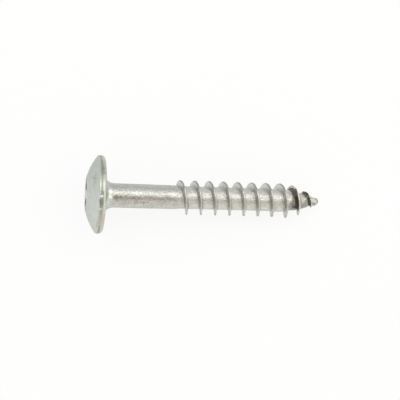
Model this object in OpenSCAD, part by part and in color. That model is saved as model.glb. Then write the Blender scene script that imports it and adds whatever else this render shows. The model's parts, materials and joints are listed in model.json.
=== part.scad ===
// Hinge screw: a one-piece steel wood screw with a low domed head, a cross
// recess, a smooth shank, a rolled coarse thread and a gimlet point.
// It lies as it comes to rest: on the rim of its head and on a thread crest.
// Lengths along the screw are counted from the underside of the head, towards
// the point. The screw is built along +X and then tipped onto the floor.

/* [Head] */
// Diameter of the head over its rim
head_d = 10.8; // [10.1:0.02:12]
// Height of the head from its bearing face to its flat crown
head_h = 2.38; // [2:0.02:2.5]
// Radius of the dome between the crown and the rim
dome_r = 9.1; // [8:0.1:10.4]
// Thickness of the rim
rim_t = 1.04; // [0.84:0.02:1.2]
// Radius of the rim's edge on the dome side
rim_top_round = 0.22; // [0.1:0.02:0.28]
// Radius of the rim's edge on the bearing side
rim_under_round = 0.48; // [0.2:0.02:0.54]
// Radius of the fillet between the bearing face and the shank
neck_round = 1.45; // [0.6:0.05:1.6]

/* [Cross recess] */
// Width over opposite wings at the crown
recess_w = 4.86; // [4:0.02:5.2]
// Depth from the crown to the foot of the wings
recess_depth = 2.3; // [1.6:0.05:2.6]
// Width of one wing where it meets the crown
wing_t = 1.24; // [0.8:0.02:1.4]
// Slope of the wings' outer ends from the screw's axis
wing_slope = 26.5; // [24:0.5:28]
// Lean of the lands between the wings
land_lean = 5; // [2:0.5:8]
// Turn of the wings from the upright
recess_turn = 0; // [0:1:90]

/* [Shank] */
// Length from the bearing face to the end of the point
screw_len = 31.3; // [26:0.1:45]
// Length of the smooth shank
shank_len = 9.8; // [8:0.1:14]
// Diameter of the smooth shank
shank_d = 3.34; // [3:0.02:3.9]

/* [Thread] */
// Diameter over the thread crests
thread_d = 4.84; // [4.5:0.02:5.4]
// Distance from one turn to the next
pitch = 2.08; // [1.7:0.02:2.4]
// Distance from one turn to the next where the crests close in
end_pitch = 1.9; // [1.6:0.02:2.2]
// How far the core between the turns lies under the shank's surface
root_step = 0.08; // [0.06:0.01:0.2]
// Width of a turn at its root, with the curve on each side
root_w = 0.62; // [0.5:0.01:0.8]
// Width of a turn where its flanks leave the curved root
flank_w = 0.34; // [0.26:0.01:0.42]
// Width of a turn at its crest
crest_w = 0.12; // [0.08:0.01:0.2]
// Height of the curved root
root_round = 0.16; // [0.08:0.01:0.2]
// Angle about the axis at which the thread starts, from the floor side
start_turn = 351; // [0:9:351]
// Angle about the axis over which the thread rises to its full height
rise_turn = 90; // [54:9:216]

/* [Point] */
// Length over which the crests close in on the point
crest_taper = 5.4; // [4:0.1:7]
// Length over which the core closes in on the point
core_taper = 6.4; // [4.5:0.1:8]
// Diameter of the blunt end of the point
tip_d = 0.24; // [0.16:0.02:0.4]

/* [Hidden] */
steel = "silver";
overlap = 0.5;
curve_fn = 96;
// Turn that keeps the seam of the head's round surfaces off the floor
seam_turn = 2.5;
hair = 0.03;
head_r = head_d / 2;
shank_r = shank_d / 2;
core_r = shank_r - root_step;
crest_r = thread_d / 2;
tip_r = tip_d / 2;

// The head's section: every arc is a list of [radius, height] points
arc_steps = 12;
rim_front_r = head_r - rim_top_round;
rim_front_z = -rim_t + rim_top_round;
// The dome's centre: its arc leaves the rim's front round without a corner
dome_c = rim_front_z + sqrt(pow(dome_r - rim_top_round, 2) - pow(rim_front_r, 2));
crown_edge_r = sqrt(pow(dome_r, 2) - pow(head_h + dome_c, 2));
dome_start = asin(crown_edge_r / dome_r);
dome_end = asin(rim_front_r / (dome_r - rim_top_round));

// The thread: one ridge that winds from the end of the shank to the point
segs = 40;
step = 360 / segs;
ridge_pts = 7;
core_start = shank_len - overlap;
thread_start = shank_len + root_w / 2 + hair;
closing_len = 1;
end_gap = 0.06;
valley_share = 0.7;
core_power = 2.2;
crest_power = 1.8;
closing_turns = 0.9;
taper_place = screw_len - crest_taper;
taper_from = (taper_place - thread_start) / pitch;
closing_from = taper_from + (screw_len - closing_len - taper_place) / end_pitch;
cols = segs * ceil(closing_from + closing_turns);

// Rest: the tilt at which the rim and the lowest crest both touch the floor
rim_low_r = head_r - rim_under_round;
floor_turns = [for (n = [0 : floor(closing_from)]) n + (360 - start_turn) / 360];
rest_tilt = min([for (u = floor_turns) tilt_on(crest_place(u), crest_at(crest_place(u)))]);
rest_x = -(screw_len * cos(rest_tilt) - head_h * cos(rest_tilt) - crown_edge_r * sin(rest_tilt)) / 2;
rest_z = rim_low_r * cos(rest_tilt) - rim_under_round * sin(rest_tilt) + rim_under_round;

// Tilt of the axis when a crest of radius r at s and the rim touch the floor
function tilt_on(s, r) = let (along = s + rim_under_round, drop = rim_low_r - r)
    asin(rim_under_round / norm([along, drop])) + atan2(drop, along);

function arc(cx, cy, r, from, to, steps) =
    [for (i = [0 : steps]) let (a = from + (to - from) * i / steps) [cx + r * sin(a), cy + r * cos(a)]];

// Section of the head as [radius, height] points, with the height towards the point
function head_section() = concat(
    [[0, -head_h]],
    [for (p = arc(0, -dome_c, dome_r, dome_start, dome_end, 2 * arc_steps)) [p[0], -p[1]]],
    [for (p = arc(rim_front_r, -rim_front_z, rim_top_round, dome_end, 90, arc_steps)) [p[0], -p[1]]],
    arc(rim_low_r, -rim_under_round, rim_under_round, 90, 0, arc_steps),
    arc(shank_r + neck_round, neck_round, neck_round, 180, 270, arc_steps),
    [[0, neck_round]]);

// Radius of the core and of the crests at the distance s from the bearing face
function closed(s, taper) = max(0, (s - screw_len + taper) / taper);
function core_at(s) = tip_r + (core_r - tip_r) * (1 - pow(closed(s, core_taper), core_power));
function crest_at(s) = max(core_at(s), tip_r + (crest_r - tip_r) * (1 - pow(closed(s, crest_taper), crest_power)));

// Place of the ridge after u turns: an even lead that shortens with the crests and closes up at the point
function crest_place(u) = let (left = closing_len - end_gap)
    u < taper_from ? thread_start + pitch * u
    : u < closing_from ? taper_place + end_pitch * (u - taper_from)
    : screw_len - end_gap - left * exp(-end_pitch * (u - closing_from) / left);
function valley_place(u) = (crest_place(u) + crest_place(u + 1)) / 2;

// Share of the full height that the ridge has after u turns
function rise(u) = let (t = min(1, 360 * u / rise_turn)) t * t * (3 - 2 * t);
function ridge_h(u) = (crest_at(crest_place(u)) - core_at(crest_place(u))) * rise(u);

// A turn narrows with its full height, and stays clear of the valley beside it
function narrowing(u) = let (s = crest_place(u), share = (crest_at(s) - core_at(s)) / (crest_r - core_r))
    min(sqrt(share), 2 * valley_share * (valley_place(u) - s) / root_w);

// One column of the surface: valley, curved root, crest and curved root
function ridge_points(u) = let (s = crest_place(u), half = narrowing(u) / 2, h = ridge_h(u),
    root = half * root_w, flank = half * flank_w, top = half * crest_w,
    bend_h = h * root_round / (crest_r - core_r))
    [[u < 1 ? core_start : valley_place(u - 1), 0], [s - root, 0], [s - flank, bend_h], [s - top, h],
     [s + top, h], [s + flank, bend_h], [s + root, 0]];

function around(s, r, a) = [s, r * sin(a), -r * cos(a)];
function angle_of(i) = start_turn + i * step;
function column(i) = [for (p = ridge_points(i / segs)) around(p[0], core_at(p[0]) + p[1], angle_of(i))];

// The last point of a column is the first of the column one turn further on
function at(i, j) = j == ridge_pts ? at(i + segs, 0)
    : i <= cols ? i * ridge_pts + j : (cols + 1) * ridge_pts + i - cols - 1;

// Outline of the head as a solid of revolution about the screw's axis
module head() {
    rotate([0, 90, 0]) rotate([0, 0, seam_turn]) rotate_extrude($fn = curve_fn) polygon(head_section());
}

// Cross recess: a blunt cone with a leaning land left standing in each quarter
module recess() {
    foot_r = recess_w / 2 - recess_depth * tan(wing_slope);
    mouth_r = recess_w / 2 + overlap * tan(wing_slope);
    big = 2 * head_d;
    translate([-head_h, 0, 0]) rotate([0, 90, 0]) rotate([0, 0, recess_turn]) {
        difference() {
            union() {
                translate([0, 0, -overlap])
                    cylinder(h = recess_depth + overlap, r1 = mouth_r, r2 = foot_r, $fn = curve_fn);
                translate([0, 0, recess_depth])
                    cylinder(h = foot_r * tan(wing_slope), r1 = foot_r, r2 = 0, $fn = curve_fn);
            }
            for (quarter = [0 : 90 : 270])
                rotate([0, 0, quarter]) translate([wing_t / 2, wing_t / 2, 0])
                    rotate(a = -land_lean, v = [-1, 1, 0])
                        translate([0, 0, -big / 2]) cube(big);
        }
    }
}

// Smooth shank, with a short shoulder down towards the core of the thread
module shank() {
    shoulder = root_step - hair;
    rotate([0, 90, 0]) {
        cylinder(h = shank_len - shoulder, r = shank_r, $fn = curve_fn);
        translate([0, 0, shank_len - shoulder])
            cylinder(h = shoulder, r1 = shank_r, r2 = core_r + hair, $fn = curve_fn);
    }
}

// Threaded core and gimlet point, as one closed surface that winds along the helix.
// The first turn starts from a flat end inside the shank, and the last one ends at the tip.
module threaded_point() {
    points = concat(
        [for (i = [0 : cols]) each column(i)],
        [for (i = [cols + 1 : cols + segs]) column(i)[0]],
        [[core_start, 0, 0], [screw_len, 0, 0]]);
    start_centre = len(points) - 2;
    tip = len(points) - 1;
    strips = [for (i = [0 : cols - 1], j = [0 : ridge_pts - 1]) if (i != segs - 1 || j > 0) each
        [[at(i, j), at(i + 1, j + 1), at(i + 1, j)], [at(i, j), at(i, j + 1), at(i + 1, j + 1)]]];
    // Where the first turn meets the second, one corner closes the whole of the first column
    seam = concat([for (j = [0 : ridge_pts - 1]) [at(segs - 1, 0), at(0, j + 1), at(0, j)]],
        [[at(segs - 1, 0), at(segs, 1), at(segs, 0)], [at(segs - 1, 0), at(segs - 1, 1), at(segs, 1)]]);
    flat_end = [for (i = [0 : segs - 1]) [start_centre, at(i, 0), at((i + 1) % segs, 0)]];
    last_turn = concat([for (i = [cols : cols + segs - 1]) [tip, at(i + 1, 0), at(i, 0)]],
        [for (j = [0 : ridge_pts - 1]) [tip, at(cols, j), at(cols, j + 1)]]);
    faces = concat(strips, seam, flat_end, last_turn);
    polyhedron(points, faces);
}

module screw() {
    color(steel)
    translate([rest_x, 0, rest_z]) rotate([0, rest_tilt, 0])
        difference() {
            union() {
                head();
                shank();
                threaded_point();
            }
            recess();
        }
}

screw();
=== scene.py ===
"""Hinge screw: the finished screw and the plain studio around it.

The screw is drawn in its own frame: its axis is X, the bearing face of the head is at X = 0 and
the point is at positive X. Angles about the axis are counted from the floor side, and they grow
the way the thread advances. When it is whole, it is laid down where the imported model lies.
Sizes are in metres, except where a class says millimetres.
"""

import json
import logging
import math
from dataclasses import dataclass, field
from enum import Enum

import bpy
import numpy as np
from mathutils import Matrix, Vector, noise


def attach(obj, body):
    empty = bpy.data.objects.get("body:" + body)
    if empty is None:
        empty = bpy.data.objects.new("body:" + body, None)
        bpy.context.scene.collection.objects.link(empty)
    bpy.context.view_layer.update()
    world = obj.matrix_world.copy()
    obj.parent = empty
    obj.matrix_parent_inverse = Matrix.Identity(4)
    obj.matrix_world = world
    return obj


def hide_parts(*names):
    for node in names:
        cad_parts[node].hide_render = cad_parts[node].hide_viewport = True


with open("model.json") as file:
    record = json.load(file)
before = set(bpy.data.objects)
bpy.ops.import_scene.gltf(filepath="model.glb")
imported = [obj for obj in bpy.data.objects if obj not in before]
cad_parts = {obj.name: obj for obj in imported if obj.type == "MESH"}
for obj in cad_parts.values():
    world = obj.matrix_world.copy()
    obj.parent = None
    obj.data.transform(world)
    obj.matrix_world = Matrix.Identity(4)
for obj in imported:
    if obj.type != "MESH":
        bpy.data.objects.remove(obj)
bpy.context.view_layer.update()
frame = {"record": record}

MM = 0.001
STEPS = 120
WELD = 0.001 * MM
SHANK_LENGTH = 9.8 * MM
SMOOTH_ANGLE = 32
log = logging.getLogger("hinge_screw")

Colour = tuple[float, float, float]
Range = tuple[float, float]
Outline = list[tuple[float, float]]
Socket = bpy.types.NodeSocket


class Mount(Enum):
    """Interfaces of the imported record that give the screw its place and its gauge."""

    SHANK = "shank"
    THREAD = "thread"
    RECESS = "recess"

    def entry(self) -> dict:
        """Returns the record's entry for this interface."""
        return next(m for m in frame["record"]["mounts"] if m["name"] == self.value)

    def radius(self) -> float:
        """Returns the interface's radius."""
        return self.entry()["dims"]["r_mm"] * MM


def arc(centre: tuple[float, float], radius: float, start: float, end: float, steps: int) -> Outline:
    """Gives points on an arc of an outline.

    Args:
        centre: Place along the axis and distance from it.
        radius: Radius of the arc.
        start: First angle in degrees, from straight outwards towards the point.
        end: Last angle in degrees.
        steps: Number of stretches.

    Returns:
        The points, first and last included.
    """
    angles = np.radians(np.linspace(start, end, steps + 1))
    return [(centre[0] + radius * math.sin(a), centre[1] + radius * math.cos(a)) for a in angles]


def between(first: tuple[float, float], last: tuple[float, float], steps: int) -> Outline:
    """Gives the evenly spaced points of a straight stretch, without its two ends.

    Args:
        first: Point before the stretch.
        last: Point after it.
        steps: Number of stretches.

    Returns:
        The points between the two.
    """
    shares = [k / steps for k in range(1, steps)]
    return [(first[0] + (last[0] - first[0]) * k, first[1] + (last[1] - first[1]) * k) for k in shares]


def eased(values: np.ndarray, start: float, length: float) -> np.ndarray:
    """Returns how far values have come along a stretch, from 0 to 1, eased in and out."""
    share = np.clip((values - start) / length, 0, 1)
    return share * share * (3 - 2 * share)


def past(values: np.ndarray, edge: float, soft: float) -> np.ndarray:
    """Returns 1 for values past an edge, else 0, eased over a length with the edge in its middle."""
    return eased(values, edge - soft / 2, soft)


def activate(*pieces: bpy.types.Object) -> None:
    """Selects only these objects, the first of them active.

    Args:
        pieces: Objects to select.
    """
    bpy.ops.object.select_all(action="DESELECT")
    for piece in pieces:
        piece.select_set(True)
    if pieces:
        bpy.context.view_layer.objects.active = pieces[0]


def edit(piece: bpy.types.Object) -> None:
    """Opens a piece in edit mode with its whole mesh selected.

    Args:
        piece: Object to open.
    """
    activate(piece)
    bpy.ops.object.mode_set(mode="EDIT")
    bpy.ops.mesh.select_all(action="SELECT")


def draw_chain(name: str, points: list[Vector]) -> bpy.types.Object:
    """Draws an open chain of edges, by extruding one vertex from point to point.

    Args:
        name: Name of the new object.
        points: Points of the chain, in order.

    Returns:
        The new object, in edit mode with the whole chain selected.
    """
    activate()
    bpy.ops.mesh.primitive_plane_add(size=MM, location=(0, 0, 0))
    piece = bpy.context.object
    piece.name = name
    edit(piece)
    bpy.ops.mesh.merge(type="CENTER")
    bpy.ops.transform.translate(value=points[0])
    for here, there in zip(points, points[1:]):
        bpy.ops.mesh.extrude_vertices_move(TRANSFORM_OT_translate={"value": there - here})
    bpy.ops.mesh.select_all(action="SELECT")
    return piece


def read_places(piece: bpy.types.Object, what: str = "co") -> np.ndarray:
    """Reads the places or the normals of a mesh's vertices.

    Args:
        piece: Object whose mesh is read.
        what: Property to read, "co" or "normal".

    Returns:
        One row for each vertex.
    """
    values = np.empty(len(piece.data.vertices) * 3)
    piece.data.vertices.foreach_get(what, values)
    return values.reshape(-1, 3)


def write_places(piece: bpy.types.Object, places: np.ndarray) -> None:
    """Moves a mesh's vertices to the given places.

    Args:
        piece: Object whose mesh is shaped.
        places: One row for each vertex.
    """
    piece.data.vertices.foreach_set("co", places.ravel())
    piece.data.update()


def write_attribute(piece: bpy.types.Object, name: str, values: np.ndarray) -> None:
    """Stores one value for each vertex, for the finish to read.

    Args:
        piece: Object whose mesh gets the values.
        name: Name of the attribute.
        values: One value for each vertex.
    """
    layer = piece.data.attributes.new(name, "FLOAT", "POINT")
    layer.data.foreach_set("value", values.astype(np.float32))


@dataclass
class HeadShape:
    """Low domed head with a flat crown, a rounded rim and a filleted neck."""

    radius: float = 5.40 * MM
    height: float = 2.38 * MM
    dome: float = 9.1 * MM
    rim: float = 1.04 * MM
    rim_top_round: float = 0.22 * MM
    rim_under_round: float = 0.48 * MM
    neck_round: float = 1.45 * MM
    crown_rings: int = 8
    dome_rings: int = 28
    round_rings: int = 8
    rim_rings: int = 4
    bearing_rings: int = 8
    neck_rings: int = 16

    def dome_centre(self) -> float:
        """Gives the place of the middle of the dome's sphere."""
        reach = self.dome - self.rim_top_round
        return self.rim_top_round - self.rim + math.sqrt(reach**2 - (self.radius - self.rim_top_round) ** 2)

    def depth_under(self, along: np.ndarray, out: np.ndarray) -> np.ndarray:
        """Gives how deep places lie under the crown and the dome.

        Args:
            along: Places along the axis.
            out: Distances from the axis.

        Returns:
            Depths, or less than 0 for places outside.
        """
        inside = np.maximum(self.dome**2 - out**2, 0)
        return along - np.maximum(self.dome_centre() - np.sqrt(inside), -self.height)

    def outline(self, shank_radius: float) -> Outline:
        """Gives the section from the middle of the crown to the start of the shank.

        Args:
            shank_radius: Radius of the shank that the neck runs into.

        Returns:
            Points as place along the axis and distance from it.
        """
        front = (self.rim_top_round - self.rim, self.radius - self.rim_top_round)
        reach = self.dome - self.rim_top_round
        centre = self.dome_centre()
        crown = math.sqrt(self.dome**2 - (self.height + centre) ** 2)
        dome_start = math.degrees(math.asin(crown / self.dome)) - 90
        dome_end = math.degrees(math.asin(front[1] / reach)) - 90
        under = (-self.rim_under_round, self.radius - self.rim_under_round)
        neck = (self.neck_round, shank_radius + self.neck_round)
        return (
            [(-self.height, 0.0)]
            + between((-self.height, 0.0), (-self.height, crown), self.crown_rings)
            + arc((centre, 0.0), self.dome, dome_start, dome_end, self.dome_rings)
            + arc(front, self.rim_top_round, dome_end, 0, self.round_rings)[1:]
            + between((front[0], self.radius), (under[0], self.radius), self.rim_rings)
            + arc(under, self.rim_under_round, 0, 90, self.round_rings)
            + between((0.0, under[1]), (0.0, neck[1]), self.bearing_rings)
            + arc(neck, self.neck_round, 270, 180, self.neck_rings)
        )


@dataclass
class ShankShape:
    """Smooth shank between the neck and the thread."""

    radius: float = field(default_factory=Mount.SHANK.radius)
    length: float = SHANK_LENGTH
    ring_gap: float = 0.1 * MM

    def outline(self, start: float) -> Outline:
        """Gives the section from the neck to the first ring of the threaded core.

        Args:
            start: Place where the neck ends.

        Returns:
            Points as place along the axis and distance from it, without the neck's last.
        """
        end = (self.length, self.radius)
        rings = round((self.length - start) / self.ring_gap)
        return between((start, self.radius), end, rings) + [end]


@dataclass
class ThreadShape:
    """Coarse rolled thread whose core, ridge and point are one skin that winds along the helix."""

    crest_radius: float = field(default_factory=Mount.THREAD.radius)
    shank_radius: float = field(default_factory=Mount.SHANK.radius)
    shoulder: float = 1.1 * MM
    shoulder_drop: float = 0.08 * MM
    screw_length: float = 31.3 * MM
    shank_length: float = SHANK_LENGTH
    pitch: float = 2.08 * MM
    end_pitch: float = 1.9 * MM
    start_angle: float = 351.0
    start_gap: float = 0.03 * MM
    root_width: float = 0.62 * MM
    flank_width: float = 0.44 * MM
    crest_width: float = 0.2 * MM
    root_round: float = 0.16 * MM
    root_shares: tuple[float, ...] = (0, 0.25, 0.5, 0.75, 1)
    flank_shares: tuple[float, ...] = (0.33, 0.67)
    flank_top: float = 0.93
    crest_shares: tuple[tuple[float, float], ...] = ((0.8, 0.975), (0.45, 0.995))
    runout: float = 0.25
    crest_taper: float = 5.4 * MM
    core_taper: float = 6.4 * MM
    crest_power: float = 1.8
    core_power: float = 2.2
    tip_radius: float = 0.12 * MM
    closing: float = 1 * MM
    end_gap: float = 0.06 * MM
    valley_share: float = 0.7
    turns: int = 11
    core_strips: int = 6

    @property
    def start(self) -> float:
        """Place of the ridge at the start of its first turn."""
        return self.shank_length + self.root_width / 2 + self.start_gap

    @property
    def core_radius(self) -> float:
        """Radius of the core past the shoulder."""
        return self.shank_radius - self.shoulder_drop

    @property
    def full_height(self) -> float:
        """Height of a full turn over the core."""
        return self.crest_radius - self.core_radius

    def closed(self, along: np.ndarray, taper: float, power: float) -> np.ndarray:
        """Returns how far, from 0 to 1, a taper of that length has closed in at each place."""
        return np.clip((along - self.screw_length + taper) / taper, 0, 1) ** power

    def core_at(self, along: np.ndarray) -> np.ndarray:
        """Gives the radius of the core at each place along the axis.

        Args:
            along: Places along the axis.

        Returns:
            Radii, from the shank's over the shoulder's down to the tip's.
        """
        share = 1 - self.closed(along, self.core_taper, self.core_power)
        shoulder = self.shoulder_drop * (1 - eased(along, self.shank_length, self.shoulder))
        return self.tip_radius + (self.core_radius - self.tip_radius) * share + shoulder

    def crest_at(self, along: np.ndarray) -> np.ndarray:
        """Gives the radius over the crests at each place along the axis.

        Args:
            along: Places along the axis.

        Returns:
            Radii, nowhere less than the core's.
        """
        share = 1 - self.closed(along, self.crest_taper, self.crest_power)
        crests = self.tip_radius + (self.crest_radius - self.tip_radius) * share
        return np.maximum(self.core_at(along), crests)

    def crest_place(self, turn: np.ndarray) -> np.ndarray:
        """Gives the ridge's place along the axis after each number of turns.

        Args:
            turn: Numbers of turns.

        Returns:
            Places: an even lead, a shorter one where the crests close in, and a last one
            that closes up at the point.
        """
        taper_place = self.screw_length - self.crest_taper
        taper_turn = (taper_place - self.start) / self.pitch
        closing_turn = taper_turn + (self.crest_taper - self.closing) / self.end_pitch
        even = self.start + self.pitch * turn
        shorter = taper_place + self.end_pitch * (turn - taper_turn)
        left = self.closing - self.end_gap
        beyond = np.maximum(turn - closing_turn, 0) * self.end_pitch
        ending = self.screw_length - self.end_gap - left * np.exp(-beyond / left)
        return np.where(turn < taper_turn, even, np.where(beyond > 0, ending, shorter))

    def valley_place(self, turn: np.ndarray) -> np.ndarray:
        """Returns the place halfway between the ridge at each turn and one turn further."""
        return (self.crest_place(turn) + self.crest_place(turn + 1)) / 2

    def half_ridge(self) -> np.ndarray:
        """Gives the shape of one side of the ridge, from its root up to its crest.

        Returns:
            One row for each point: shares of the half widths at root, flank and crest that
            add up to its distance from the middle of the ridge, and its share of the height.
        """
        low = self.root_round / self.full_height
        bow = low / (1 - low)
        rows = []
        for t in self.root_shares:
            bend = 2 * t * (1 - t)
            rows.append([(1 - t) ** 2, bend * (1 + bow) + t * t, -bend * bow, t * t * low])
        for t in self.flank_shares:
            rows.append([0, 1 - t, t, low + (self.flank_top - low) * t])
        for width, height in ((1, self.flank_top), *self.crest_shares):
            rows.append([0, 0, width, height])
        return np.array(rows)

    def columns(self, turn: np.ndarray) -> tuple[np.ndarray, np.ndarray]:
        """Gives the section of the skin after each number of turns.

        Args:
            turn: Numbers of turns, one for each column.

        Returns:
            Places along the axis and distances from it, one row for each column.
        """
        turn = turn[:, None]
        place = self.crest_place(turn)
        core = self.core_at(place)
        height = (self.crest_at(place) - core) * eased(turn, 0, self.runout)
        room = 2 * self.valley_share * (self.valley_place(turn) - place) / self.root_width
        narrow = np.minimum(np.sqrt((self.crest_at(place) - core) / self.full_height), room) / 2
        widths = np.array([self.root_width, self.flank_width, self.crest_width])
        ridge = self.half_ridge()
        offsets = narrow * (ridge[:, :3] @ widths)
        lifts = height * ridge[:, 3]
        before = np.where(turn < 1, self.shank_length, self.valley_place(turn - 1))
        after = self.valley_place(turn)
        shares = np.arange(self.core_strips) / self.core_strips
        head_side = before + (place - offsets[:, :1] - before) * shares
        tip_side = after + (place + offsets[:, :1] - after) * shares
        flat = np.zeros_like(head_side)
        along = np.hstack([head_side, place - offsets, place,
                           (place + offsets)[:, ::-1], tip_side[:, ::-1]])
        lift = np.hstack([flat, lifts, height, lifts[:, ::-1], flat])
        return along, self.core_at(along) + lift

    def angle_at(self, turn: np.ndarray) -> np.ndarray:
        """Returns the angle about the axis, in radians, after each number of turns."""
        return np.radians(self.start_angle) + 2 * np.pi * turn

    def nearest_turn(self, along: np.ndarray, angle: np.ndarray) -> np.ndarray:
        """Finds which turn of the ridge lies nearest to each place.

        Args:
            along: Places along the axis.
            angle: Angles about the axis, in radians.

        Returns:
            Numbers of turns.
        """
        part = ((angle - np.radians(self.start_angle)) / (2 * np.pi)) % 1
        candidates = part[:, None] + np.arange(self.turns + 1)
        best = np.argmin(np.abs(self.crest_place(candidates) - along[:, None]), axis=1)
        return part + best


@dataclass
class RecessShape:
    """Cross recess: four tapering wings with a soft edge at the crown."""

    width: float = 4.86 * MM
    depth: float = 2.3 * MM
    wing: float = 1.3 * MM
    wing_slope: float = 26.5
    land_lean: float = 5.0
    turn: float = 0.0
    corner: float = 0.45 * MM
    edge: float = 0.05 * MM
    above: float = 0.5 * MM
    edge_angles: tuple[float, ...] = (0, 30, 60, 90)
    depth_shares: tuple[float, ...] = (0.25, 0.5, 0.75, 1)
    wing_points: int = 6
    corner_points: int = 5

    def levels(self) -> Outline:
        """Gives the rings of the cutter, from above the crown to the foot of the wings.

        Returns:
            Depth of each ring and how far it is flared there.
        """
        soft = [(self.edge * (1 - math.cos(a)), self.edge * (1 - math.sin(a)))
                for a in np.radians(self.edge_angles)]
        deep = [(self.depth * share, 0.0) for share in self.depth_shares]
        return [(-self.above, self.edge)] + soft + deep

    def ring(self, depth: float, flare: float) -> Outline:
        """Gives the outline of the cross at one depth.

        Args:
            depth: Depth under the crown.
            flare: How far the outline is pushed outwards.

        Returns:
            Points in the plane of the crown, in order.
        """
        lean = math.tan(math.radians(self.land_lean)) * math.sqrt(0.5)
        half = self.wing / 2 - max(depth, 0) * lean + flare
        reach = self.width / 2 - max(depth, 0) * math.tan(math.radians(self.wing_slope)) + flare
        spread = math.asin(half / reach)
        points = []
        for wing in range(4):
            middle = math.radians(self.turn + 90 * wing)
            for a in np.linspace(-spread, spread, self.wing_points):
                points.append((reach * math.cos(middle + a), reach * math.sin(middle + a)))
            bend = half + self.corner
            for a in np.linspace(270, 180, self.corner_points):
                x = bend + self.corner * math.cos(math.radians(a))
                y = bend + self.corner * math.sin(math.radians(a))
                points.append((x * math.cos(middle) - y * math.sin(middle),
                               x * math.sin(middle) + y * math.cos(middle)))
        return points

    def cutter(self, crown: float) -> bpy.types.Object:
        """Models the punch that leaves the recess.

        Args:
            crown: Place of the crown along the axis.

        Returns:
            The cutter, a closed mesh.
        """
        levels = self.levels()
        count = 4 * (self.wing_points + self.corner_points)
        activate()
        bpy.ops.mesh.primitive_circle_add(vertices=count, radius=self.width / 2, fill_type="NGON",
                                          location=(crown, 0, 0), rotation=(0, math.pi / 2, 0))
        punch = bpy.context.object
        bpy.ops.object.transform_apply(location=True, rotation=True, scale=True)
        edit(punch)
        for _ in levels[1:]:
            bpy.ops.mesh.extrude_region_move(TRANSFORM_OT_translate={"value": (MM, 0, 0)})
        bpy.ops.mesh.poke()
        bpy.ops.object.mode_set(mode="OBJECT")
        places = read_places(punch)
        level = np.rint((places[:, 0] - crown) / MM).astype(int)
        around = np.arctan2(places[:, 2], places[:, 1])
        step = np.rint((around - around[0]) / (2 * np.pi / count)).astype(int) % count
        rings = [self.ring(depth, flare) for depth, flare in levels]
        bottom = np.argmin(np.linalg.norm(places[:, 1:], axis=1))
        for k in range(len(places)):
            places[k] = (crown + levels[level[k]][0], *rings[level[k]][step[k]])
        cone = math.hypot(*rings[-1][0]) * math.tan(math.radians(self.wing_slope))
        places[bottom] = (crown + self.depth + cone, 0, 0)
        write_places(punch, places)
        edit(punch)
        bpy.ops.mesh.normals_make_consistent(inside=False)
        bpy.ops.object.mode_set(mode="OBJECT")
        return punch


class Place:
    """Where the vertices of the screw are, along its axis, around it and beside the thread."""

    least_ridge = 0.05 * MM

    def __init__(self, points: np.ndarray, thread: ThreadShape) -> None:
        """Finds the places.

        Args:
            points: The vertices in the screw's own frame.
            thread: The thread that they are told by.
        """
        self.points = points
        self.along = points[:, 0]
        self.out = np.hypot(points[:, 1], points[:, 2])
        self.angle = np.arctan2(points[:, 1], -points[:, 2]) % (2 * np.pi)
        self.turn = thread.nearest_turn(self.along, self.angle)
        self.beside = self.along - thread.crest_place(self.turn)
        core = thread.core_at(self.along)
        ridge = np.maximum(thread.crest_at(self.along) - core, self.least_ridge)
        self.height = np.clip((self.out - core) / ridge, 0, 1)


@dataclass(frozen=True)
class Mark:
    """A round or long mark, in millimetres and degrees.

    Along, angle and out tell its middle. It spreads by its size, and along X by stretch times that.
    """

    along: float
    angle: float
    out: float
    size: float
    strength: float = 1.0
    stretch: float = 1.0

    def weight(self, place: Place) -> np.ndarray:
        """Gives how strongly the mark covers each vertex.

        Args:
            place: Where the vertices are.

        Returns:
            Values from 0 to the mark's strength.
        """
        turned = math.radians(self.angle)
        middle = np.array([self.along, self.out * math.sin(turned), -self.out * math.cos(turned)])
        away = place.points / MM - middle
        away[:, 0] /= self.stretch
        return self.strength * np.exp(-((np.linalg.norm(away, axis=1) / self.size) ** 2))


@dataclass(frozen=True)
class Streak:
    """A mark on the thread, told in turns, millimetres beside the ridge and shares of its height."""

    start: float
    end: float
    beside: float
    width: float
    lowest: float = -1.0
    highest: float = 2.0
    strength: float = 1.0
    fade: float = 0.08
    soft: float = 0.15

    def weight(self, place: Place) -> np.ndarray:
        """Gives how strongly the streak covers each vertex.

        Args:
            place: Where the vertices are.

        Returns:
            Values from 0 to the streak's strength.
        """
        begun = past(place.turn, self.start, self.fade) * past(place.turn, self.end, -self.fade)
        high = past(place.height, self.lowest, self.soft) * past(place.height, self.highest, -self.soft)
        across = (place.beside / MM - self.beside) / self.width
        return self.strength * begun * high * np.exp(-(across**2))


@dataclass(frozen=True)
class Ripple:
    """Irregular but repeatable unevenness, with its height and its length in millimetres."""

    height: float
    length: float
    seed: float
    seed_ways: tuple[float, float, float] = (1, 2.7, -1.3)

    def lift(self, points: np.ndarray) -> np.ndarray:
        """Gives how far the skin is lifted at each place.

        Args:
            points: Places on the screw.

        Returns:
            Millimetres, about from minus the height to the height.
        """
        shift = Vector([self.seed * way for way in self.seed_ways])
        length = self.length * MM
        return self.height * np.array([noise.noise(Vector(p) / length + shift) for p in points])


class Patch(Enum):
    """Kinds of patch on the screw, each stored on the mesh under its value: stains and bare steel, and also
    painted shade, painted highlights and a painted warm reflection.
    """

    BARE_AND_REFLECTION = "bare"
    GREY_AND_SHADE = "grey"
    RUST = "rust"
    SOOT_AND_SHADE = "soot"
    PAINTED_HIGHLIGHT = "pale"
    GLINT = "bright"


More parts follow.
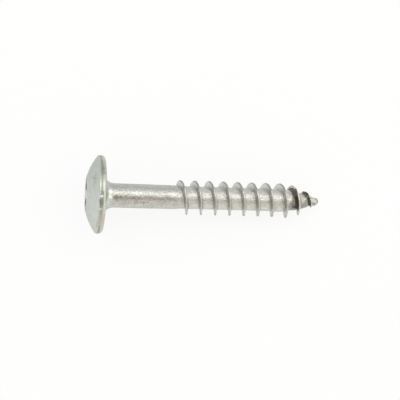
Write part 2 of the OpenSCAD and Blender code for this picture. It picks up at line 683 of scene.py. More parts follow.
class Side(Enum):
    """Sides of the screw's round as the camera sees them, by which painted shade and painted highlights are
    put.

    Each has its middle in degrees, the cosine from it at which it starts, and over which it grows.
    """

    UPPER_EDGE = (98, 0.66, 0.22)
    UPPER = (120, 0.80, 0.15)
    FACING = (180, 0.10, 0.40)
    LOWER = (205, 0.30, 0.40)
    LOWER_EDGE = (272, 0.75, 0.20)

    def share(self, angle: np.ndarray) -> np.ndarray:
        """Returns how fully, from 0 to 1, places at these angles lie on the side."""
        middle, start, length = self.value
        return eased(np.cos(angle - math.radians(middle)), start, length)


@dataclass(frozen=True)
class Zones:
    """Where the finish changes, painted shade and painted highlights included: lengths in millimetres, the
    rest in shares of the ridge and of 1.
    """

    # Painted shade in the thread's roots: how far it spreads, its share all round, more where the roots
    # face the camera, and a line at the tip-side root on the lower side.
    root_spread: float = 0.18
    root_all_round: float = 0.12
    root_facing: float = 0.45
    root_lower: float = 0.8
    rim_soft: float = 0.1
    rim_depth: float = 0.15
    drawn_start: float = 0.3
    drawn_length: float = 0.8
    crest_start: float = 0.8
    crest_length: float = 0.14
    flank_start: float = 0.25
    flank_length: float = 0.35
    # Share of the crests' painted shade where they face the camera.
    crest_shade_facing: float = 0.3
    # Painted highlight: shares of lighter crests on the lower side and lighter flanks on the upper edge.
    sheen_on_crest: float = 0.3
    sheen_on_flank: float = 0.75
    # Painted shade in the recess: the depth where it starts and over which it grows, and the distance from
    # the axis at which it has faded out and over which it fades.
    recess_shade_start: float = 0.01
    recess_shade_length: float = 0.035
    recess_shade_reach: float = 1.9
    recess_shade_fade: float = 0.6

    def at_root(self, away: np.ndarray) -> np.ndarray:
        """Returns 1 at a root of the ridge and less beside it, by shares of the ridge's width."""
        return np.exp(-((away / self.root_spread) ** 2))


@dataclass
class WearAndPaintedLight:
    """What this screw has from forging, rolling and use, and the light and shade painted on it, in
    millimetres, degrees and turns.

    Dents go into the skin, swellings lead away from the axis or towards it, and slips lead along it. Its
    patches are stains and bare steel, and also painted shade, painted highlights and a painted warm
    reflection.
    """

    dents: tuple[Mark, ...] = (
        Mark(-0.62, 181, 5.4, 0.13, 0.06),
        Mark(-0.5, 215, 5.4, 0.35, 0.03),
        Mark(28.85, 150, 1.2, 0.14, 0.04),
    )
    swellings: tuple[Mark, ...] = (
        Mark(26.35, 270, 2.35, 0.5, 0.12),
        Mark(28.15, 270, 1.95, 0.45, 0.14),
        Mark(28.6, 90, 1.6, 1.1, -0.1),
        Mark(27.27, 108, 2.15, 0.4, -0.15),
        Mark(29.0, 95, 1.3, 0.5, -0.06),
        Mark(25.1, 270, 1.5, 0.8, 0.08),
        Mark(26.6, 270, 1.45, 0.5, -0.07),
        Mark(29.93, 258, 0.9, 0.3, -0.24),
        Mark(27.42, 135, 2.1, 0.3, -0.13),
        Mark(30.8, 92, 0.6, 0.35, -0.1),
    )
    slips: tuple[Mark, ...] = (Mark(29.5, 185, 1.2, 0.55, 0.15),)
    # Patches: stains and bare steel, and also painted shade, painted highlights and a painted warm
    # reflection, as told at each.
    patches: dict[Patch, tuple[Mark | Streak, ...]] = field(default_factory=lambda: {
        # Bare steel near the point and on one crest, a smaller beige patch on the rim's face, and a painted
        # warm reflection on the rim's lower side.
        Patch.BARE_AND_REFLECTION: (
            Mark(26.6, 135, 1.5, 0.35, 0.9),
            Mark(28.35, 150, 1.2, 0.75, 0.8),
            Mark(28.6, 215, 1.2, 0.7, 0.7),
            Mark(30.7, 200, 0.5, 0.45, 1.1),
            Streak(8.1, 8.38, -0.1, 0.25, lowest=0.66, strength=1.1),
            Mark(-0.5, 219, 5.4, 1.6, 0.85, 0.4),
            Mark(-0.5, 166, 5.4, 0.5, 0.5, 0.5),
        ),
        # Grey patches on the rim, the dome, the shank and near the point; the long ones on the shank are
        # painted shade.
        Patch.GREY_AND_SHADE: (
            Mark(-0.42, 143, 5.38, 1.2, 0.62, 0.45),
            Mark(-0.55, 176.5, 5.4, 0.36, 0.85, 0.6),
            Mark(-0.7, 190.5, 5.4, 0.62, 0.85, 0.55),
            Mark(-1.0, 228, 5.35, 1.3, 0.65, 0.07),
            Mark(-1.55, 153, 4.35, 1.7, 0.42, 0.3),
            Mark(4.4, 214, 1.67, 0.3, 0.55, 2.5),
            Mark(26.75, 215, 1.5, 0.9, 1.0, 0.7),
            Mark(28.2, 236, 1.3, 0.3, 0.8, 1.6),
            Mark(28.9, 222, 1.2, 0.6, 0.75, 1.2),
            Mark(28.35, 118, 1.4, 0.4, 0.6),
            Mark(29.2, 138, 1.1, 0.35, 1.4),
            Mark(29.1, 183, 1.15, 0.35, 0.85),
            Mark(29.0, 208, 1.15, 0.4, 0.85),
            Mark(30.5, 92, 0.65, 0.25, 1.4, 3.0),
            Mark(30.25, 205, 0.7, 0.18, 1.2, 1.4),
            Mark(30.55, 212, 0.6, 0.16, 1.5),
            Streak(8.4, 8.74, 0.36, 0.2, highest=0.5, strength=1.2),
            Streak(8.42, 8.72, -0.52, 0.36, highest=0.6, strength=1.1),
            # Painted shade on the shank: it dims the highlight near the neck and darkens the band below the
            # highlight.
            Mark(1.55, 164, 1.69, 0.3, 0.5, 1.6),
            Mark(1.95, 190, 1.67, 0.4, 0.6, 3.2),
            Mark(4.2, 192, 1.67, 0.25, 0.5, 4.0),
            Mark(7.5, 192, 1.67, 0.25, 0.5, 6.0),
        ),
        Patch.RUST: (
            Streak(8.2, 8.54, -0.3, 0.24, highest=0.55, strength=1.3),
            Streak(8.36, 8.46, -0.2, 0.22, strength=1.0),
            Mark(27.12, 140, 1.45, 0.3, 1.0),
            Mark(26.95, 200, 1.5, 0.35, 0.5),
        ),
        # Soot on the last turns, dark marks near the point, on the rim and on the shank, and painted shade
        # in the recess.
        Patch.SOOT_AND_SHADE: (
            Streak(8.46, 8.68, -0.28, 0.24, highest=0.8, strength=1.1),
            Streak(9.22, 9.42, -0.1, 0.2, strength=0.85),
            Streak(9.38, 9.68, -0.16, 0.17, strength=1.4),
            Mark(29.28, 140, 1.05, 0.32, -1.8, 1.2),
            Mark(27.1, 222, 1.5, 0.35, 0.6),
            Mark(26.42, 151, 1.5, 0.09, 1.1),
            Mark(-0.88, 189.5, 5.4, 0.45, 0.52, 0.25),
            # Painted shade: the dark slots of the recess seen past the crown's edge.
            Mark(-2.3, 52, 1.14, 0.35, 0.8),
            Mark(-2.3, 301, 1.36, 0.3, 0.8),
            Mark(5.07, 209, 1.67, 0.09, 0.9, 1.5),
            Mark(5.5, 212, 1.67, 0.07, 0.9, 1.8),
            Mark(6.0, 210, 1.67, 0.08, 0.9, 2.0),
            Mark(8.45, 212, 1.67, 0.07, 0.8, 1.3),
        ),
        # Painted highlights: light lines on crests of the last turns, light spots on the thread and near
        # the point, the lit top edge of the head, and a lit wing end in the recess.
        Patch.PAINTED_HIGHLIGHT: (
            Streak(8.2, 8.72, -0.05, 0.12, lowest=0.9, strength=1.2),
            Streak(9.15, 9.3, -0.12, 0.12, lowest=0.6, strength=0.7),
            Mark(26.4, 176, 1.5, 0.3, 0.9, 1.3),
            Mark(28.75, 168, 1.3, 0.35, 0.7),
            Mark(30.4, 165, 0.6, 0.25, 0.6),
            Mark(-0.4, 112, 5.4, 1.3, 0.55, 0.5),
            Mark(-2.2, 1, 2.35, 0.8, 0.6),
        ),
        # Painted highlights: a glint on the rim's nick, a light spot on the rim below it, and two on the
        # neck's fillet.
        Patch.GLINT: (
            Mark(-0.74, 183, 5.4, 0.1, 1.2, 3.0),
            Mark(-0.78, 202, 5.4, 0.17, 0.85, 1.6),
            Mark(0.8, 164, 1.85, 0.3, 1.1),
            Mark(0.83, 187, 1.83, 0.35, 0.75),
        ),
    })
    forging: Ripple = Ripple(0.006, 0.9, 3.1)
    forging_draw: float = 0.5
    plating: Ripple = Ripple(0.003, 0.32, 8.4)
    burr: Ripple = Ripple(0.03, 0.28, 5.2)
    burr_start: float = 29.8
    burr_length: float = 0.8
    head_aside: float = 0.073
    head_turn: float = -0.67
    neck: float = 0.9
    tip_place: float = 30.75
    tip_reach: float = 0.5
    tip_least: float = 0.1
    tip_swell: float = 0.13
    tip_aside: float = -0.13
    hook_start: float = 30.6
    hook_length: float = 0.8
    hook: float = 0.22
    shank_swell: float = 0.02
    shank_swell_end: float = 7.5
    shank_swell_length: float = 1.0

    def lift(self, place: Place, shank_length: float) -> np.ndarray:
        """Gives the skin's unevenness and dents, and the shank's slight growth towards the head.

        Args:
            place: Where the vertices are.
            shank_length: Place where the smooth shank ends.

        Returns:
            How far each vertex is lifted along its normal.
        """
        along = place.along / MM
        lift = self.forging.lift(place.points * (self.forging_draw, 1, 1)) + self.plating.lift(place.points)
        lift += eased(along, self.burr_start, self.burr_length) * self.burr.lift(place.points)
        shank = eased(along, 0, self.shank_swell_length) * (place.along < shank_length)
        lift += self.shank_swell * shank * eased(along, self.shank_swell_end, -self.shank_swell_length)
        return (lift - sum(dent.weight(place) for dent in self.dents)) * MM

    def bend(self, points: np.ndarray) -> np.ndarray:
        """Sets the head a little askew and leaves the point thick, blunt and bent.

        Args:
            points: Places in the screw's own frame.

        Returns:
            The places after it.
        """
        along = points[:, 0] / MM
        bent = points.copy()
        head = 1 - eased(along, 0, self.neck)
        turn = math.radians(self.head_turn)
        bent[:, 0] -= head * points[:, 1] * math.sin(turn)
        bent[:, 1] += head * (points[:, 0] * math.sin(turn) + self.head_aside * MM)
        tip = np.exp(-((along - self.tip_place) / self.tip_reach) ** 2)
        out = np.maximum(np.hypot(points[:, 1], points[:, 2]), self.tip_least * MM)
        bent[:, 1:] *= (1 + tip * self.tip_swell * MM / out)[:, None]
        hooked = eased(along, self.hook_start, self.hook_length)
        bent[:, 1] += (tip * self.tip_aside + hooked * self.hook) * MM
        return bent


@dataclass
class HingeScrew:
    """The screw: head, shank and threaded point as one closed skin."""

    name: str = "hinge_screw"
    head: HeadShape = field(default_factory=HeadShape)
    shank: ShankShape = field(default_factory=ShankShape)
    thread: ThreadShape = field(default_factory=ThreadShape)
    recess: RecessShape = field(default_factory=RecessShape)
    wear_and_painted_light: WearAndPaintedLight = field(default_factory=WearAndPaintedLight)
    zones: Zones = Zones()

    def placement(self) -> Matrix:
        """Finds the screw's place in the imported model, from the recess in its crown.

        Returns:
            The placement of the screw's own frame.
        """
        crown = Mount.RECESS.entry()
        axis = -Vector(crown["axis"])
        side = Vector((0, 1, 0))
        turn = Matrix((axis, side, axis.cross(side))).transposed().to_4x4()
        return Matrix.Translation(Vector(crown["pos_m"]) + axis * self.head.height) @ turn

    def build(self) -> bpy.types.Object:
        """Models the screw and lays it down in its place.

        Returns:
            The finished screw, without its finish.
        """
        blank = self.turn_blank()
        skin = self.roll_thread()
        screw = self.weld(blank, skin)
        self.punch_recess(screw)
        self.roughen(screw)
        self.mark_surface(screw)
        self.lay_down(screw)
        return screw

    def turn_blank(self) -> bpy.types.Object:
        """Spins the section of head and shank about the axis.

        Returns:
            The blank, open where the threaded core starts.
        """
        outline = self.head.outline(self.shank.radius) + self.shank.outline(self.head.neck_round)
        blank = draw_chain("blank", [Vector((x, 0, r)) for x, r in outline])
        bpy.ops.mesh.spin(steps=STEPS, angle=2 * math.pi, use_auto_merge=True,
                          center=(0, 0, 0), axis=(1, 0, 0))
        bpy.ops.mesh.select_all(action="SELECT")
        bpy.ops.mesh.remove_doubles(threshold=WELD)
        bpy.ops.object.mode_set(mode="OBJECT")
        return blank

    def roll_thread(self) -> bpy.types.Object:
        """Winds the section of the ridge along the helix and closes it up on the point.

        Returns:
            The skin of the threaded core, open at its first ring and at the tip.
        """
        thread = self.thread
        along, out = thread.columns(np.array([1.0]))
        first = float(thread.angle_at(np.array([0.0]))[0])
        section = [Vector((x, r * math.sin(first), -r * math.cos(first)))
                   for x, r in zip(along[0] - thread.pitch, out[0])]
        skin = draw_chain("skin", section)
        bpy.ops.mesh.screw(steps=STEPS, turns=1, center=(0, 0, 0), axis=(-1, 0, 0))
        bpy.ops.object.mode_set(mode="OBJECT")
        turns = skin.modifiers.new("turns", "ARRAY")
        turns.count = thread.turns
        turns.use_relative_offset = False
        turns.use_constant_offset = True
        turns.constant_offset_displace = (thread.pitch, 0, 0)
        activate(skin)
        bpy.ops.object.modifier_apply(modifier=turns.name)
        column, point = np.divmod(np.arange(len(skin.data.vertices)), len(section))
        point = np.argsort(np.argsort(read_places(skin)[: len(section), 0]))[point]
        copy, step = np.divmod(np.arange(column.max() + 1), STEPS + 1)
        turn = copy + step / STEPS
        along, out = thread.columns(turn)
        angle = thread.angle_at(turn)[column]
        x, r = along[column, point], out[column, point]
        write_places(skin, np.column_stack([x, r * np.sin(angle), -r * np.cos(angle)]))
        return skin

    def weld(self, blank: bpy.types.Object, skin: bpy.types.Object) -> bpy.types.Object:
        """Joins the blank and the threaded skin into one closed mesh.

        Args:
            blank: Head and shank.
            skin: Threaded core and point.

        Returns:
            The whole screw.
        """
        activate(blank, skin)
        bpy.ops.object.join()
        screw = bpy.context.object
        screw.name = self.name
        screw.data.name = self.name
        edit(screw)
        bpy.ops.mesh.remove_doubles(threshold=WELD)
        bpy.ops.mesh.select_all(action="DESELECT")
        bpy.ops.mesh.select_mode(type="EDGE")
        bpy.ops.mesh.select_non_manifold()
        bpy.ops.mesh.fill_holes(sides=0)
        bpy.ops.mesh.select_mode(type="FACE")
        bpy.ops.mesh.select_all(action="DESELECT")
        bpy.ops.mesh.select_face_by_sides(number=STEPS // 2, type="GREATER")
        bpy.ops.mesh.poke()
        bpy.ops.mesh.select_mode(type="VERT")
        bpy.ops.mesh.select_all(action="SELECT")
        bpy.ops.mesh.normals_make_consistent(inside=False)
        bpy.ops.object.mode_set(mode="OBJECT")
        places = read_places(screw)
        places[np.argmax(places[:, 0])] = (self.thread.screw_length, 0, 0)
        write_places(screw, places)
        return screw

    def roughen(self, screw: bpy.types.Object) -> None:
        """Gives the skin its unevenness and dents, and the last turns their swellings and slips.

        The place holds the points themselves, so each step starts from the shape after the last.

        Args:
            screw: The whole screw, in its own frame.
        """
        points = read_places(screw)
        place = Place(points, self.thread)
        points += read_places(screw, "normal") * self.wear_and_painted_light.lift(place, self.thread.shank_length)[:, None]
        out = sum(swelling.weight(place) for swelling in self.wear_and_painted_light.swellings)
        points[:, 1:] *= (1 + out * MM / np.maximum(place.out, MM))[:, None]
        points[:, 0] += sum(slip.weight(place) for slip in self.wear_and_painted_light.slips) * MM
        write_places(screw, points)

    def punch_recess(self, screw: bpy.types.Object) -> None:
        """Cuts the cross recess into the crown.

        Args:
            screw: The whole screw, in its own frame.
        """
        cutter = self.recess.cutter(-self.head.height)
        activate(screw)
        cut = screw.modifiers.new("recess", "BOOLEAN")
        cut.operation = "DIFFERENCE"
        cut.solver = "EXACT"
        cut.object = cutter
        bpy.ops.object.modifier_apply(modifier=cut.name)
        bpy.data.objects.remove(cutter)

    def mark_surface(self, screw: bpy.types.Object) -> None:
        """Stores where crests, roots, rim, recess, shank and patches are, for the finish, with its painted
        shade and painted highlights.

        Args:
            screw: The whole screw, in its own frame.
        """
        thread, head, zones = self.thread, self.head, self.zones
        place = Place(read_places(screw), thread)
        threaded = place.along > thread.shank_length
        upper_edge, upper, facing, lower, lower_edge = (side.share(place.angle) for side in Side)
        beside = place.beside / thread.root_width
        # Painted shade in the thread's roots, strongest where they face the camera, with a thin line at the
        # tip-side root on the lower side.
        root = zones.at_root(beside + 0.5) * (zones.root_all_round + zones.root_facing * facing)
        root += zones.at_root(beside - 0.5) * zones.root_lower * lower
        rim = past(place.along, head.rim_top_round - head.rim, zones.rim_soft * MM)
        rim *= past(place.along, -head.rim_under_round, -zones.rim_soft * MM)
        crest = eased(place.height, zones.crest_start, zones.crest_length) * threaded
        flank = eased(place.height, zones.flank_start, zones.flank_length) * threaded - crest
        depth = head.depth_under(place.along, place.out) / MM
        # Painted shade in the recess, darker with depth, and weaker towards the wings' ends.
        recess_shade = eased(depth, zones.recess_shade_start, zones.recess_shade_length)
        recess_shade *= eased(place.out / MM, zones.recess_shade_reach, -zones.recess_shade_fade)
        values = {
            # Painted shade along the crests where they are seen edge-on, and a little where they face the
            # camera.
            "edge": crest * np.maximum(np.maximum(upper, lower_edge), zones.crest_shade_facing * facing),
            # Painted highlight on crests on the lower side and on flanks at the upper edge.
            "painted_sheen": zones.sheen_on_crest * crest * lower + zones.sheen_on_flank * flank * upper_edge,
            "root": root * threaded,
            "rim": rim * (place.out > head.radius - zones.rim_depth * MM),
            "recess_shade": recess_shade * (place.along < 0),
            "drawn": eased(place.along / MM, zones.drawn_start, zones.drawn_length),
            "rolled": eased(place.along, thread.shank_length, thread.shoulder),
        }
        for patch, marks in self.wear_and_painted_light.patches.items():
            values[patch.value] = sum(mark.weight(place) for mark in marks)
        for name, value in values.items():
            write_attribute(screw, name, value)

    def lay_down(self, screw: bpy.types.Object) -> None:
        """Bends the screw a little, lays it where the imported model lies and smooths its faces.

        Args:
            screw: The whole screw, in its own frame.
        """
        write_places(screw, self.wear_and_painted_light.bend(read_places(screw)))
        activate(screw)
        screw.matrix_world = self.placement()
        bpy.ops.object.transform_apply(location=True, rotation=True, scale=True)
        bpy.ops.object.shade_smooth_by_angle(angle=math.radians(SMOOTH_ANGLE))


@dataclass(frozen=True)
class Pattern:
    """Noise: swells for each millimetre, number of finer layers, their strength, and warp."""

    scale: float
    layers: float
    rough: float = 0.55
    warp: float = 0.0


@dataclass(frozen=True)
class Coat:
    """One layer of colour, and how much of what lies under it it hides at most."""

    colour: Colour
    share: float


@dataclass(frozen=True)
class Relief:
    """Bump: depth in millimetres on the shank and on the thread, and its strength on the head."""

    shank: float
    thread: float
    head: float


class Shader:
    """The node tree of a material or of the world, with short calls for the nodes that it uses."""

    def __init__(self, owner: bpy.types.Material | bpy.types.World) -> None:
        """Empties the owner's node tree.

        Args:
            owner: Material or world.
        """
        owner.use_nodes = True
        self.owner = owner
        self.tree = owner.node_tree
        self.tree.nodes.clear()

    def node(self, kind: str, inputs: dict | None = None, **settings: object) -> bpy.types.Node:
        """Adds a node.

        Args:
            kind: Node type, without its common prefix.
            inputs: Values or sockets for the node's inputs, by name or number.
            settings: Properties of the node.

        Returns:
            The new node.
        """
        made = self.tree.nodes.new("ShaderNode" + kind)
        for key, value in settings.items():
            setattr(made, key, value)
        for key, value in (inputs or {}).items():
            if isinstance(value, Socket):
                self.tree.links.new(value, made.inputs[key])
            else:
                made.inputs[key].default_value = value
        return made

    def noise(self, coords: Socket, pattern: Pattern) -> Socket:
        """Returns the value of a noise pattern on these coordinates."""
        inputs = {"Vector": coords, "Scale": pattern.scale, "Detail": pattern.layers,
                  "Roughness": pattern.rough, "Distortion": pattern.warp}
        return self.node("TexNoise", inputs).outputs["Fac"]

    def ease(self, value: Socket, low: float, high: float, start: float = 0, end: float = 1) -> Socket:
        """Eases a value from one range into another.

        Args:
            value: Value to ease.
            low: Value that gives start.
            high: Value that gives end.
            start: Result at and below low.
            end: Result at and above high.

        Returns:
            The eased value.
        """
        inputs = {"Value": value, "From Min": low, "From Max": high, "To Min": start, "To Max": end}
        return self.node("MapRange", inputs, interpolation_type="SMOOTHSTEP").outputs[0]

    def math(self, operation: str, *values: Socket | float) -> Socket:
        """Returns what one of Blender's Math operations makes of the values."""
        return self.node("Math", dict(enumerate(values)), operation=operation).outputs[0]

    def times(self, first: Socket, second: Socket | float) -> Socket:
        """Returns the product of two values."""
        return self.math("MULTIPLY", first, second)

    def blend(self, share: Socket | float, first: Socket | Colour, second: Socket | Colour) -> Socket:
        """Mixes two colours.

        Args:
            share: Share of the second colour.
            first: Colour at 0.
            second: Colour at 1.

        Returns:
            The mixed colour.
        """
        mixer = self.node("Mix", data_type="RGBA")
        for key, value in (("Factor", share), ("A", first), ("B", second)):
            socket = next(s for s in mixer.inputs if s.name == key and s.enabled)
            if isinstance(value, Socket):
                self.tree.links.new(value, socket)
            else:
                socket.default_value = (*value, 1) if isinstance(value, tuple) else value
        return next(s for s in mixer.outputs if s.enabled)

    def attribute(self, name: str) -> Socket:
        """Returns a value stored on the mesh."""
        return self.node("Attribute", attribute_name=name).outputs["Fac"]


@dataclass(frozen=True)
class ZincFinishAndPaintedLight:
    """Bright zinc plate over rolled steel: satin, mottled, pitted and stained near the point.

    Each coat lies over those before it; some are painted shade and painted highlights, as told at each. The
    broad patterns are drawn out along the screw.
    """

    zinc: Colour = (0.63, 0.635, 0.60)
    dull: Coat = Coat((0.50, 0.505, 0.46), 0.6)
    cool: Coat = Coat((0.552, 0.594, 0.558), 0.6)
    speckle: Coat = Coat((0.40, 0.395, 0.36), 1.0)
    rolled: Coat = Coat((0.84, 0.84, 0.80), 0.22)
    rim: Coat = Coat((0.38, 0.37, 0.31), 0.85)
    # Dark painted shade inside the recess.
    recess_shade: Coat = Coat((0.30, 0.30, 0.26), 0.8)
    pit: Coat = Coat((0.20, 0.19, 0.16), 1.0)
    # Dark brown painted shade in the thread's roots.
    root_shade: Coat = Coat((0.24, 0.21, 0.16), 0.75)
    # Light painted highlight on crests and flanks.
    painted_sheen: Coat = Coat((0.84, 0.84, 0.80), 0.8)
    # Dark painted shade on the crests.
    edge: Coat = Coat((0.27, 0.27, 0.24), 0.7)
    # Beige: bare steel, and a painted warm reflection on the rim.
    bare: Coat = Coat((0.55, 0.505, 0.465), 0.92)
    # Dark grey: grey patches, and painted shade on the shank.
    grey: Coat = Coat((0.30, 0.30, 0.27), 0.92)
    rust: Coat = Coat((0.145, 0.102, 0.076), 0.92)
    # Near black: soot and dark marks, and painted shade in the recess.
    soot: Coat = Coat((0.058, 0.055, 0.044), 0.92)
    # Pale painted highlights.
    pale: Coat = Coat((0.76, 0.72, 0.63), 0.92)
    # Near white painted glints.
    bright: Coat = Coat((0.93, 0.94, 0.90), 0.92)
    edge_tint: Colour = (0.8, 0.8, 0.78)
    draw: float = 0.6
    broad: Pattern = Pattern(0.5, 2)
    blotch: Pattern = Pattern(1.9, 3, warp=0.3)
    fine: Pattern = Pattern(5.5, 3, 0.6, 0.2)
    grain: Pattern = Pattern(13, 2, 0.5)
    ragged: Pattern = Pattern(3.4, 4, 0.62)
    broad_share: float = 0.4
    dull_range: Range = (0.4, 0.62)
    speckle_range: Range = (0.42, 0.62)
    speckle_share: Range = (0.12, 0.65)
    pit_range: Range = (0.66, 0.74)
    pit_share: Range = (0.15, 0.8)
    # Where and how strongly the painted shade in the roots covers.
    root_shade_range: Range = (0.3, 0.62)
    root_shade_share: Range = (0.35, 1)
    patch_start: float = 0.28
    patch_full: float = 0.72
    patch_full_dark: float = 0.62
    patch_ragged: float = 1.4
    satin_range: Range = (0.3, 0.7)
    satin: Range = (0.21, 0.36)
    rim_rough: float = 0.5
    dirt_and_shade_rough: float = 0.2
    rolled_rough: float = 0.04
    head_rough: float = 0.06
    pit_dirt: float = 0.8
    dirt_and_shade_matt: float = 0.6
    swells: Relief = Relief(0.062, 0.1, 0.18)
    pitting: Relief = Relief(0.034, 0.06, 0.14)
    sparkle: Relief = Relief(0.009, 0.009, 0.3)

    def cover(self, s: Shader, patch: Patch, pattern: Socket) -> Socket:
        """Gives how strongly a patch covers the surface, with ragged edges.

        Args:
            s: Node tree of the finish.
            patch: Kind of patch.
            pattern: Noise that breaks up its edges.

        Returns:
            Values from 0 to 1.
        """
        ragged = s.times(s.math("SUBTRACT", pattern, 0.5), self.patch_ragged)
        full = self.patch_full_dark if patch in (Patch.RUST, Patch.SOOT_AND_SHADE) else self.patch_full
        return s.ease(s.math("ADD", s.attribute(patch.value), ragged), self.patch_start, full)

    def material(self, placement: Matrix) -> bpy.types.Material:
        """Makes the material for the screw.

        Args:
            placement: Where the screw lies.

        Returns:
            The material.
        """
        s = Shader(bpy.data.materials.new("zinc_steel"))
        back = placement.inverted()
        lying = s.node("TexCoord").outputs["Object"]
        own = s.node("Mapping", {"Vector": lying, "Scale": (1 / MM,) * 3, "Rotation": back.to_euler(),
                                 "Location": back.translation / MM}).outputs[0]
        drawn_out = s.node("Mapping", {"Vector": own, "Scale": (self.draw, 1, 1)}).outputs[0]
        broad, blotch = s.noise(drawn_out, self.broad), s.noise(drawn_out, self.blotch)
        fine, grain, ragged = (s.noise(own, pattern) for pattern in (self.fine, self.grain, self.ragged))
        drawn, rolled, rim, root = (s.attribute(name) for name in ("drawn", "rolled", "rim", "root"))
        head = s.ease(drawn, 0, 1, 1, 0)
        mottle = s.math("ADD", s.times(broad, self.broad_share), s.times(blotch, 1 - self.broad_share))
        specks = s.times(s.ease(fine, *self.speckle_range), s.ease(drawn, 0, 1, *self.speckle_share))
        pits = s.times(s.ease(fine, *self.pit_range), s.ease(drawn, 0, 1, *self.pit_share))
        # Painted shade in the thread's roots, with ragged edges.
        root_shade = s.times(root, s.ease(ragged, *self.root_shade_range, *self.root_shade_share))
        covers = {patch: self.cover(s, patch, ragged) for patch in Patch}
        colour = self.zinc
        for where, coat in (
            (s.ease(mottle, *self.dull_range), self.dull), (head, self.cool), (specks, self.speckle),
            (rolled, self.rolled), (rim, self.rim), (s.attribute("recess_shade"), self.recess_shade), (pits, self.pit),
            (root_shade, self.root_shade), (s.attribute("painted_sheen"), self.painted_sheen), (s.attribute("edge"), self.edge),
            *((cover, getattr(self, patch.value)) for patch, cover in covers.items()),
        ):
            colour = s.blend(s.times(where, coat.share), colour, coat.colour)
        # Rust, soot with the recess's painted shade, and pits: rougher and less metallic.
        dirt_and_shade = s.math("MAXIMUM", covers[Patch.RUST], covers[Patch.SOOT_AND_SHADE])
        dirt_and_shade = s.math("MAXIMUM", dirt_and_shade, s.times(pits, self.pit_dirt))
        rough = s.ease(blotch, *self.satin_range, *self.satin)
        rough = s.math("MAXIMUM", rough, s.times(rim, self.rim_rough))
        for where, more in ((dirt_and_shade, self.dirt_and_shade_rough), (rolled, self.rolled_rough), (head, self.head_rough)):
            rough = s.math("ADD", rough, s.times(where, more))
        metal = s.math("SUBTRACT", 1, s.times(dirt_and_shade, self.dirt_and_shade_matt))
        normal = {}
        for pattern, relief in ((blotch, self.swells), (fine, self.pitting), (grain, self.sparkle)):
            depth = s.ease(rolled, 0, 1, relief.shank * MM, relief.thread * MM)
            strength = s.ease(drawn, 0, 1, relief.head, 1)
            bump = s.node("Bump", {"Height": pattern, "Distance": depth, "Strength": strength, **normal})
            normal = {"Normal": bump.outputs[0]}
        steel = s.node("BsdfPrincipled", {"Base Color": colour, "Metallic": metal, "Roughness": rough,
                                          "Specular Tint": (*self.edge_tint, 1), **normal})
        s.node("OutputMaterial", {"Surface": steel.outputs[0]})
        return s.owner

    def dress(self, piece: bpy.types.Object, placement: Matrix) -> None:
        """Gives the piece this finish.

        Args:
            piece: The screw.
            placement: Where it lies.
        """
        piece.data.materials.clear()
        piece.data.materials.append(self.material(placement))


@dataclass(frozen=True)
class Lamp:
    """Soft lamp over the screw: its lean is in degrees from straight above, towards +Y."""

    name: str = "window"
    lean: float = 26.0
    distance: float = 0.34
    length: float = 0.56
    width: float = 0.16
    glow: float = 1.25
    tint: Colour = (1.0, 1.0, 0.96)

    def hang(self) -> None:
        """Hangs the lamp with its length along X, aimed at the screw."""
        activate()
        lean = math.radians(self.lean)
        way = Vector((0, math.sin(lean), math.cos(lean)))
        bpy.ops.object.light_add(type="AREA", location=way * self.distance)
        lamp = bpy.context.object
        lamp.name = self.name
        lamp.rotation_euler = way.to_track_quat("Z", "Y").to_euler()
        lamp.data.shape = "RECTANGLE"
        lamp.data.size, lamp.data.size_y = self.length, self.width
        lamp.data.energy = self.glow * math.pi * self.length * self.width
        lamp.data.color = self.tint


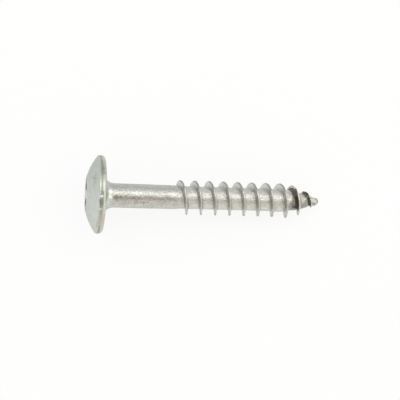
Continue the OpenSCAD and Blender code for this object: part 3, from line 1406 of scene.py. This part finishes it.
@dataclass
class Studio:
    """Pale floor, soft light and the camera above the screw."""

    lamp: Lamp = Lamp()
    floor_size: float = 4.0
    paper: float = 0.9
    shadow_share: float = 0.14
    focal: float = 78.3
    sensor: float = 36.0
    nearest: float = 5 * MM
    distance: float = 122.9 * MM
    tilt: float = 5.24
    roll: float = 1.65
    aim_along: float = 13.65 * MM
    aim_aside: float = -0.29 * MM
    tones: tuple[tuple[float, Colour], ...] = (
        (-90, (0.95, 0.90, 0.82)),
        (-60, (0.98, 0.92, 0.86)),
        (-40, (0.88, 0.83, 0.76)),
        (-25, (0.50, 0.47, 0.43)),
        (-10, (0.50, 0.485, 0.445)),
        (5, (0.75, 0.745, 0.71)),
        (25, (0.97, 0.965, 0.94)),
        (50, (0.96, 0.96, 0.95)),
        (72, (0.80, 0.81, 0.85)),
        (90, (0.65, 0.66, 0.70)),
    )
    head_side: Colour = (0.93, 0.99, 1.0)
    point_side: Colour = (1.2, 1.2, 1.13)
    side_start: float = 0.3
    side_full: float = 0.8
    floor_tones: tuple[float, float, float] = (1.14, 0.95, 0.70)
    floor_near: Range = (-10 * MM, 12 * MM)
    floor_far: Range = (8 * MM, 60 * MM)

    def build(self, placement: Matrix) -> None:
        """Sets up the whole studio.

        Args:
            placement: Where the screw lies.
        """
        self.lay_floor()
        self.set_world()
        self.lamp.hang()
        self.place_camera(placement)

    def lay_floor(self) -> None:
        """Lays the pale floor, which shows as nearly white and keeps a faint shadow."""
        activate()
        bpy.ops.mesh.primitive_plane_add(size=self.floor_size, location=(0, 0, 0))
        floor = bpy.context.object
        floor.name = "floor"
        s = Shader(bpy.data.materials.new("white_paper"))
        seen = s.node("LightPath")
        open_view = s.math("MAXIMUM", seen.outputs["Is Camera Ray"], seen.outputs["Is Glossy Ray"])
        matt = s.node("BsdfDiffuse", {"Color": (self.paper, self.paper, self.paper, 1)})
        where = s.node("SeparateXYZ", {0: s.node("TexCoord").outputs["Object"]}).outputs["Y"]
        front, under, far = self.floor_tones
        tone = s.ease(where, *self.floor_near, front, under)
        tone = s.times(tone, s.ease(where, *self.floor_far, 1, far / under))
        shown = s.node("Mix", {0: seen.outputs["Is Camera Ray"], 2: tone, 3: 1.0}).outputs[0]
        white = s.node("Emission", {"Color": (1, 1, 1, 1), "Strength": shown})
        share = s.times(open_view, 1 - self.shadow_share)
        mixed = s.node("MixShader", {0: share, 1: matt.outputs[0], 2: white.outputs[0]})
        s.node("OutputMaterial", {"Surface": mixed.outputs[0]})
        floor.data.materials.append(s.owner)

    def set_world(self) -> None:
        """Makes the soft room: each tone is told by its angle from straight above towards +Y."""
        world = bpy.data.worlds.new("studio")
        bpy.context.scene.world = world
        s = Shader(world)
        way = s.node("SeparateXYZ", {0: s.node("TexCoord").outputs["Generated"]}).outputs
        ramp = s.node("ValToRGB", {0: s.math("MULTIPLY_ADD", way["Y"], 0.5, 0.5)})
        stops = ramp.color_ramp.elements
        while len(stops) < len(self.tones):
            stops.new(0.5)
        for stop, (angle, tone) in zip(stops, self.tones):
            stop.position = 0.5 + 0.5 * math.sin(math.radians(angle))
            stop.color = (*tone, 1)
        room = ramp.outputs[0]
        for side, tint in ((-1, self.head_side), (1, self.point_side)):
            share = s.ease(way["X"], side * self.side_start, side * self.side_full)
            room = s.blend(share, room, tint)
        around = s.node("Background", {0: room})
        plain = s.node("Background", {0: (1, 1, 1, 1)})
        seen = s.node("LightPath").outputs["Is Camera Ray"]
        mixed = s.node("MixShader", {0: seen, 1: around.outputs[0], 2: plain.outputs[0]})
        s.node("OutputWorld", {"Surface": mixed.outputs[0]})

    def place_camera(self, placement: Matrix) -> None:
        """Puts the camera above the screw, at the photograph's angle and distance.

        Args:
            placement: Where the screw lies.
        """
        lean, roll = math.radians(self.tilt), math.radians(self.roll)
        back = Vector((-math.sin(lean), 0, math.cos(lean)))
        level = Vector((0, 1, 0)).cross(back)
        right = level * math.cos(roll) + back.cross(level) * math.sin(roll)
        up = back.cross(right)
        aim = placement @ Vector((self.aim_along, 0, 0)) + up * self.aim_aside
        turn = Matrix((right, up, back)).transposed().to_4x4()
        activate()
        bpy.ops.object.camera_add()
        camera = bpy.context.object
        camera.matrix_world = Matrix.Translation(aim + back * self.distance) @ turn
        camera.data.lens = self.focal
        camera.data.sensor_width = self.sensor
        camera.data.clip_start = self.nearest
        bpy.context.scene.camera = camera


def main() -> None:
    """Builds the screw and the studio, and reports what was made."""
    logging.basicConfig(level=logging.INFO, format="%(name)s: %(message)s")
    design = HingeScrew()
    screw = design.build()
    ZincFinishAndPaintedLight().dress(screw, design.placement())
    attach(screw, "root")
    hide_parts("screw")
    log.info("%s: %d vertices, %d faces", screw.name, len(screw.data.vertices), len(screw.data.polygons))
    Studio().build(design.placement())
    bpy.context.scene.view_settings.view_transform = "Standard"


if __name__ == "__main__":
    main()
